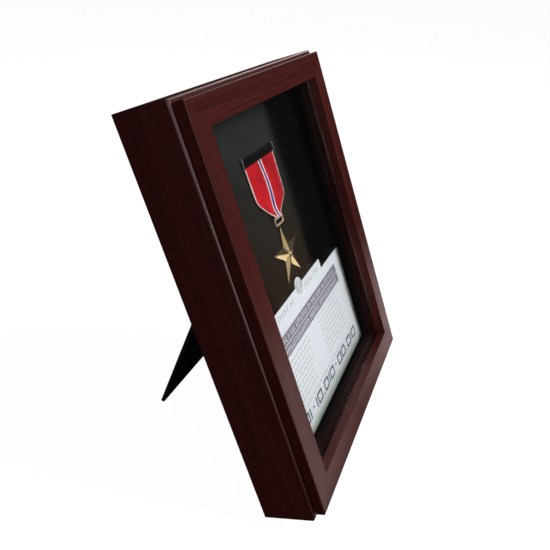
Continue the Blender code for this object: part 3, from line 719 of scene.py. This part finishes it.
def build_card():
    """The card, and everything printed on it."""
    bm = bmesh.new()
    outline = card_outline()
    add_loft(bm, [(x, CARD_LOW.y, z) for x, z in outline], [(x, CARD_HIGH.y, z) for x, z in outline])
    add_piece(finish_mesh(bm, "printed_card"), "printed_card", "case",
              [card_stock()], ["insert_card"])
    rng = random.Random(8)
    bands = [(BAND_LEFT, z, BAND_W, BAND_H) for z in BAND_FEET]
    print_piece("print_band", bands, (0.165, 0.150, 0.190))
    light = []
    for z in BAND_FEET:
        light += stroke_line(rng, *BAND_LINE, z + BAND_LINE_UP, BAND_CELL, BAND_PEN)
    print_piece("print_light", light, (0.66, 0.68, 0.72), 2 * INK)

    small = []
    for left, right, top in COLUMNS:
        for line in range(COLUMN_LINES):
            end = right - rng.uniform(0, COLUMN_RAG)
            small += bar_line(rng, left, end, top - COLUMN_PITCH * line, *COLUMN_BARS)
    small += bar_line(rng, *FOOT_LINE, *FOOT_BARS)
    print_piece("print_small", small, (0.42, 0.45, 0.46))
    tab = []
    for left, right in TAB_LINES:
        tab += stroke_line(rng, left, right, TAB_LINE_Z, TAB_CELL, TAB_PEN)
    print_piece("print_tab", tab, (0.30, 0.32, 0.34))
    build_size_marks()
    build_ornament()


def build_size_marks():
    """A row of large plain marks: upright strokes, open boxes, dots and dashes."""
    pattern = "o.oi-io.oio-oo.oio"
    widths = {"o": 0.0052, "i": 0.0020, ".": 0.0024, "-": 0.0046}
    low, high, pen = MARKS_LOW, MARKS_HIGH, MARKS_PEN
    stretch = MARKS_W / sum(widths[mark] for mark in pattern)
    marks = []
    x = MARKS_LEFT
    for mark in pattern:
        wide = widths[mark] * stretch
        left, right, middle = x + MARKS_MARGIN, x + wide - MARKS_MARGIN, x + wide / 2
        if mark == "o":
            marks += [(left, low, pen, high - low), (right - pen, low, pen, high - low)]
            marks += [(left + pen, z, right - left - 2 * pen, pen) for z in (low, high - pen)]
        elif mark == "i":
            marks.append((middle - pen / 2, low, pen, high - low))
        else:
            level = low if mark == "." else (low + high) / 2
            marks.append((middle - MARKS_DOT / 2, level, MARKS_DOT, pen))
        x += wide
    print_piece("print_marks", marks, (0.045, 0.055, 0.085))


def build_ornament():
    """A plain rosette of rings on the card's crest."""
    centre = Vector((CREST_X, CARD_LOW.y, CARD_TAB - RING_PRINT_DROP))
    angles = [2 * math.pi * k / RING_PRINT_STEPS for k in range(RING_PRINT_STEPS)]
    for i, radius in enumerate(RING_PRINT_RADII, 1):
        circle = [centre + radius * Vector((math.cos(a), 0, math.sin(a))) for a in angles]
        name = f"print_ring_{i}"
        add_piece(wire_ring_mesh(name, circle, RING_PRINT_PEN, 2), name, "case",
                  [ink(f"ink_ring_{i}", (0.32, 0.37, 0.34))])


# ---------------------------------------------------------------- medal

def share(value, start, end):
    """From 0 to 1 as value goes from start to end."""
    return min(1.0, max(0.0, (value - start) / (end - start)))


def soft_min(first, second, soft):
    """The smaller of two values, rounded off where they cross."""
    middle, gap = (first + second) / 2, (first - second) / 2
    return middle - math.sqrt(gap * gap + soft * soft)


def ribbon_edge(z, corner_z, soft):
    """Half the width: nearly straight sides, then a corner and a foot drawn in to the loop."""
    down = (RIBBON_TOP - z) / (RIBBON_TOP - corner_z)
    side = RIBBON_HALF + (RIBBON_CORNER_HALF - RIBBON_HALF) * down
    up = (z - RIBBON_NECK) / (corner_z - RIBBON_NECK)
    foot = RIBBON_NECK_HALF + (RIBBON_CORNER_HALF - RIBBON_NECK_HALF) * up
    blend = share(z, *RIBBON_MERGE)
    blend = blend * blend * (3 - 2 * blend)
    return LOOP_HALF + (max(soft_min(side, foot, soft), LOOP_HALF) - LOOP_HALF) * blend


def ribbon_path():
    """Rows of the ribbon as (y, z, left half, right half), down it and round the ring's top bar."""
    path = []
    for i in range(RIBBON_ROWS + 1):
        z = RIBBON_TOP - (RIBBON_TOP - LOOP.z - RIBBON_END) * i / RIBBON_ROWS
        forward = (RIBBON_Y - LOOP.y + LOOP_R) * share(z, *RIBBON_FORWARD) ** 2
        path.append((RIBBON_Y - forward, z, ribbon_edge(z, *RIBBON_LEFT),
                     ribbon_edge(z, *RIBBON_RIGHT)))
    for i in range(1, LOOP_STEPS + 1):
        turn = math.pi * i / LOOP_STEPS
        path.append((LOOP.y - LOOP_R * math.cos(turn), LOOP.z - LOOP_R * math.sin(turn),
                     LOOP_HALF, LOOP_HALF))
    return path


def stripe_columns(half):
    """Distances from the middle to the end of each column, out to the ribbon's edge."""
    shrink = min(1.0, half / STRIPE_FULL_HALF)
    inner = [shrink * end for end in STRIPE_ENDS]
    outer = half - STRIPE_EDGE * shrink
    red = [inner[-1] + (outer - inner[-1]) * k / STRIPE_REDS for k in range(1, STRIPE_REDS + 1)]
    return inner + red + [(outer + half) / 2, half]


def build_ribbon():
    """A sheet whose stripes are columns of their own: blue, white, red and white outwards."""
    bm = bmesh.new()
    grid = []
    for y, z, left, right in ribbon_path():
        row = []
        belly = RIBBON_BELLY * math.sin(math.pi * share(z, RIBBON_TOP, LOOP.z))
        for x in [-x for x in stripe_columns(left)[::-1]] + [0.0] + stripe_columns(right):
            u = x / max(left, right)
            fold = RIBBON_FOLD * math.sin(FOLD_ACROSS * u + FOLD_DOWN * z)
            row.append(bm.verts.new((MEDAL_X + x, y + (fold - belly) * (1 - u * u), z)))
        grid.append(row)
    columns = len(grid[0]) - 1
    for upper, lower in zip(grid, grid[1:]):
        for c in range(columns):
            face = bm.faces.new((upper[c], upper[c + 1], lower[c + 1], lower[c]))
            away = abs(c + 0.5 - columns / 2)
            if away < 2:
                face.material_index = 2
            elif away < 4 or away > columns / 2 - 2:
                face.material_index = 1
    ribbon = add_piece(finish_mesh(bm, "silk_ribbon", 60), "silk_ribbon", "case",
                       [woven("ribbon_red", (0.37, 0.005, 0.009)),
                        woven("ribbon_white", (0.70, 0.58, 0.60)),
                        woven("ribbon_blue", (0.016, 0.010, 0.17))], ["ribbon"])
    thicken(ribbon, RIBBON_T, 0)


def build_brooch():
    """A dark bar with a rounded front and a thin lower lip, between two raised end plates."""
    foot = BAR_LOW.z + BAR_END_RIM
    head = BAR_HIGH.z - BAR_END_RIM
    lip_y = BAR_LOW.y + BAR_LIP_SHARE * (BAR_HIGH.y - BAR_LOW.y)
    section = rounded([
        (BAR_LOW.y, foot + BAR_LIP_H, BAR_ROUND_FOOT),
        (BAR_LOW.y, head, BAR_ROUND_HEAD),
        (BAR_HIGH.y, head, BAR_ROUND_BACK),
        (BAR_HIGH.y, foot, 0),
        (lip_y, foot, BAR_ROUND_LIP),
        (lip_y, foot + BAR_LIP_H, 0),
    ], 6)
    bm = bmesh.new()
    ends = (BAR_LOW.x + BAR_END_T, BAR_HIGH.x - BAR_END_T)
    left, right = ([(x, y, z) for y, z in section] for x in ends)
    add_loft(bm, left, right)
    for near, far in ((BAR_LOW.x, ends[0]), (ends[1], BAR_HIGH.x)):
        made = add_box(bm, (near, BAR_LOW.y - BAR_END_PROUD, BAR_LOW.z), (far, *BAR_HIGH.yz))
        for face in {f for v in made for f in v.link_faces}:
            face.material_index = 1
        rims = {e for v in made for e in v.link_edges}
        bmesh.ops.bevel(bm, geom=list(rims), offset=BAR_END_ARRIS, segments=3, profile=0.5,
                        affect="EDGES", material=1)
    steel = metal("bright_steel", (0.42, 0.42, 0.43), 0.20, 0.34)
    add_piece(finish_mesh(bm, "brooch_body", 50), "brooch_body", "case",
              [black_enamel(), steel], ["brooch_bar"])


def star_mesh():
    """Five ridged rays on a thin rim, and a small raised star over the middle of them."""
    bm = bmesh.new()
    boss_foot = STAR_RISE * (1 - BOSS_R / STAR_R)
    boss_waist_r = BOSS_R * STAR_WAIST_R / STAR_R
    levels = [
        (STAR_R, STAR_WAIST_R, -STAR_RIM),
        (STAR_R, STAR_WAIST_R, 0),
        (BOSS_R, boss_waist_r, boss_foot),
        (BOSS_R, boss_waist_r, boss_foot + BOSS_STEP),
    ]
    corners = 2 * STAR_POINTS
    rings = []
    for point_r, waist_r, height in levels:
        ring = []
        for k in range(corners):
            angle = math.pi / 2 + k * math.pi / STAR_POINTS
            radius = waist_r if k % 2 else point_r
            ring.append(bm.verts.new((STAR.x + radius * math.cos(angle), STAR.y - height,
                                      STAR.z + radius * math.sin(angle))))
        rings.append(ring)
    top = bm.verts.new((STAR.x, STAR.y - STAR_RISE - BOSS_LIFT - BOSS_STEP, STAR.z))
    bm.faces.new(rings[0])
    for lower, upper in zip(rings, rings[1:]):
        for k in range(corners):
            bm.faces.new((lower[k - 1], lower[k], upper[k], upper[k - 1]))
    for k in range(corners):
        bm.faces.new((rings[-1][k - 1], rings[-1][k], top))
    return finish_mesh(bm, "gold_star", 12)


def build_pendant():
    """The star, and the ring of round wire that it hangs from."""
    gold = metal("star_gold", (0.72, 0.54, 0.28), 0.15, 0.25, metallic=0.97, bump=0.000008)
    star = add_piece(star_mesh(), "gold_star", "pendant", [gold], ["medal_star"])
    soften_edges(star, STAR_ARRIS, 10)
    outline = rounded([
        (-RING_HALF, LOOP.z, RING_ROUND_TOP),
        (-RING_HALF, RING_FOOT, RING_ROUND_FOOT),
        (RING_HALF, RING_FOOT, RING_ROUND_FOOT),
        (RING_HALF, LOOP.z, RING_ROUND_TOP),
    ], 6)
    route = [(MEDAL_X + x, LOOP.y, z) for x, z in outline]
    # the ring's gold is a paler, less metallic copy of the star's: a painted sheen for the light its
    # wire would catch
    pale = metal("ring_gold_painted_sheen", (0.82, 0.62, 0.44), 0.22, 0.34, metallic=0.55)
    add_piece(wire_ring_mesh("medal_ring_wire", route, RING_WIRE_R, 4), "medal_ring_wire",
              "pendant", [pale], ["medal_ring"])


# ---------------------------------------------------------------- CAD pieces that keep their shape

def dress_cad_nodes():
    """A look for each CAD piece that no new piece replaces, by how its name starts."""
    zinc = metal("zinc_plate", (0.50, 0.50, 0.49), 0.30, 0.48)
    brass = metal("brass_plate", (0.58, 0.43, 0.17), 0.26, 0.42)
    looks = {
        "glass_pane": clear_glass(),
        "liner": fibrous("liner_paper", (0.0012, 0.0012, 0.0010)),
        "foam_pad": fibrous("foam", (0.45, 0.44, 0.42)),
        "back_panel": fibrous("fibre_board", (0.016, 0.0157, 0.0150)),
        "easel_leg": fibrous("leg_board", (0.0115, 0.0114, 0.0110)),
        "turn_button": brass,
        "screw": brass,
        "bumper": bumper_rubber(),
        "brooch_pin": zinc,
        "hinge": zinc,
        "panel_rivet": zinc,
        "leg_rivet": zinc,
        "sawtooth_hanger": zinc,
        "hanger_nail": zinc,
    }
    for name, node in frame["nodes"].items():
        for prefix, look in looks.items():
            if name.startswith(prefix):
                node.data.materials.clear()
                node.data.materials.append(look)
    frame["nodes"]["glass_pane"].visible_shadow = False


# ---------------------------------------------------------------- stage, lights and camera

def glow_card(name, corners, colour, strength, through_glass=False):
    """A glowing card that shows in gloss only, with its corners in the frame axes."""
    mesh = bpy.data.meshes.new(name)
    mesh.from_pydata([AXES @ Vector(corner) for corner in corners], [], [(0, 1, 2, 3)])
    card = new_object(name, mesh)
    mat = bpy.data.materials.new(name)
    mat.use_nodes = True
    nodes = mat.node_tree.nodes
    nodes.clear()
    glow = nodes.new("ShaderNodeEmission")
    glow.inputs["Color"].default_value = (*colour, 1.0)
    glow.inputs["Strength"].default_value = strength
    out = nodes.new("ShaderNodeOutputMaterial")
    mat.node_tree.links.new(glow.outputs[0], out.inputs["Surface"])
    mesh.materials.append(mat)
    card.visible_camera = False
    card.visible_diffuse = False
    card.visible_transmission = through_glass
    card.visible_shadow = False


def facing_card(name, x, z, colour, strength, through_glass=False):
    """A glowing card parallel to the face and in front of it, between two x and two z."""
    corners = [(x[0], CARD_PLANE, z[0]), (x[1], CARD_PLANE, z[0]), (x[1], CARD_PLANE, z[1]),
               (x[0], CARD_PLANE, z[1])]
    glow_card(name, corners, colour, strength, through_glass)


def area_light(name, spot, aim, size, watts, colour=(1, 1, 1)):
    """A rectangular light, placed in the axes of the CAD model."""
    data = bpy.data.lights.new(name, "AREA")
    data.shape = "RECTANGLE"
    data.size, data.size_y = size
    data.energy = watts
    data.color = colour
    light = new_object(name, data)
    light.location = spot
    light.visible_camera = False
    light.rotation_euler = (Vector(aim) - Vector(spot)).to_track_quat("-Z", "Y").to_euler()


def build_floor():
    """A pale floor that glows a little, so that it stays pale away from the lights."""
    bm = bmesh.new()
    bmesh.ops.create_grid(bm, x_segments=1, y_segments=1, size=FLOOR_HALF)
    floor = new_object("floor", finish_mesh(bm, "floor"))
    floor.location = (0, 0, -FLOOR_DROP)
    pale = Surface("pale_floor", (0.20, 0.20, 0.20), 0.9, specular=0.0)
    pale.set("Emission Color", (1.0, 1.0, 1.0, 1.0))
    pale.set("Emission Strength", 0.97)
    floor.data.materials.append(pale.mat)
    floor.visible_glossy = False
    floor.visible_diffuse = False
    floor.visible_transmission = False


def build_world():
    """Pale where the camera sees it, and dark for everything else."""
    world = bpy.data.worlds.new("studio")
    bpy.context.scene.world = world
    world.use_nodes = True
    nodes, links = world.node_tree.nodes, world.node_tree.links
    nodes.clear()
    path = nodes.new("ShaderNodeLightPath")
    mix = nodes.new("ShaderNodeMixShader")
    out = nodes.new("ShaderNodeOutputWorld")
    links.new(path.outputs["Is Camera Ray"], mix.inputs[0])
    for i, (colour, strength) in enumerate((((0.9, 0.95, 1.0), 0.004), ((1.0, 1.0, 1.0), 1.0)), 1):
        background = nodes.new("ShaderNodeBackground")
        background.inputs["Color"].default_value = (*colour, 1.0)
        background.inputs["Strength"].default_value = strength
        links.new(background.outputs[0], mix.inputs[i])
    links.new(mix.outputs[0], out.inputs["Surface"])


def build_lights():
    """Soft lights, and glowing cards for what shows in the lacquer, the glass and the metal."""
    area_light("key", (0.42, -1.20, 1.10), MIDDLE, (0.6, 0.6), 22.5, (1.0, 0.985, 0.97))
    area_light("fill_left", (-1.5, -0.5, 0.5), MIDDLE, (1.0, 1.0), 5.6)
    area_light("fill_back", (0.45, 1.10, 0.07), (0, 0.05, 0.12), (0.9, 0.10), 9.0)
    # the faint shine on the left part of the glass
    facing_card("glass_card", (0.64, 0.95), (-0.62, 0.20), (0.93, 1.0, 0.94), 0.035)
    # pale surroundings beside it, for the lower face and the facets of the star
    facing_card("left_card", (0.40, 0.62), (-1.00, -0.38), (1.0, 0.88, 0.88), 5.0,
                through_glass=True)
    facing_card("middle_card", (0.12, 0.36), (-0.26, 0.04), (1.0, 0.97, 0.92), 0.7,
                through_glass=True)
    facing_card("right_card", (1.29, 1.70), (-1.10, -0.62), (1.0, 0.78, 0.80), 8.5)
    # the upper edge of the brooch bar
    facing_card("bar_card", (0.80, 1.15), (0.42, 0.70), (1.0, 1.0, 1.0), 4.0,
                through_glass=True)
    # the arrises along the front of the box and the top of the face
    glow_card("arris_card", [(-0.60, -0.72, -0.5), (-0.15, -0.92, -0.5), (-0.15, -0.92, 0.05),
                             (-0.60, -0.72, 0.05)], (1.0, 0.9, 0.92), 4.5)
    glow_card("top_card", [(1.0, -0.30, 0.40), (1.0, 0.06, 0.40), (1.0, 0.06, 0.85),
                           (1.0, -0.30, 0.85)], (1.0, 0.80, 0.80), 5.0)


def build_camera():
    """The camera, turned by its own right, up and forward directions."""
    data = bpy.data.cameras.new("camera")
    data.lens = CAMERA_LENS_MM
    data.sensor_width = CAMERA_SENSOR_MM
    data.shift_x, data.shift_y = CAMERA_SHIFT
    data.clip_start = CAMERA_CLIP
    camera = new_object("camera", data)
    up = CAMERA_RIGHT.cross(CAMERA_FORWARD)
    turn = Matrix((CAMERA_RIGHT, up, -CAMERA_FORWARD)).transposed().to_4x4()
    camera.matrix_world = AXES @ Matrix.Translation(CAMERA_SPOT) @ turn
    bpy.context.scene.camera = camera
    bpy.context.scene.view_settings.view_transform = "Standard"


build_camera()
build_floor()
build_world()
build_lights()
build_wood()
build_velvet()
build_card()
build_ribbon()
build_brooch()
build_pendant()
dress_cad_nodes()
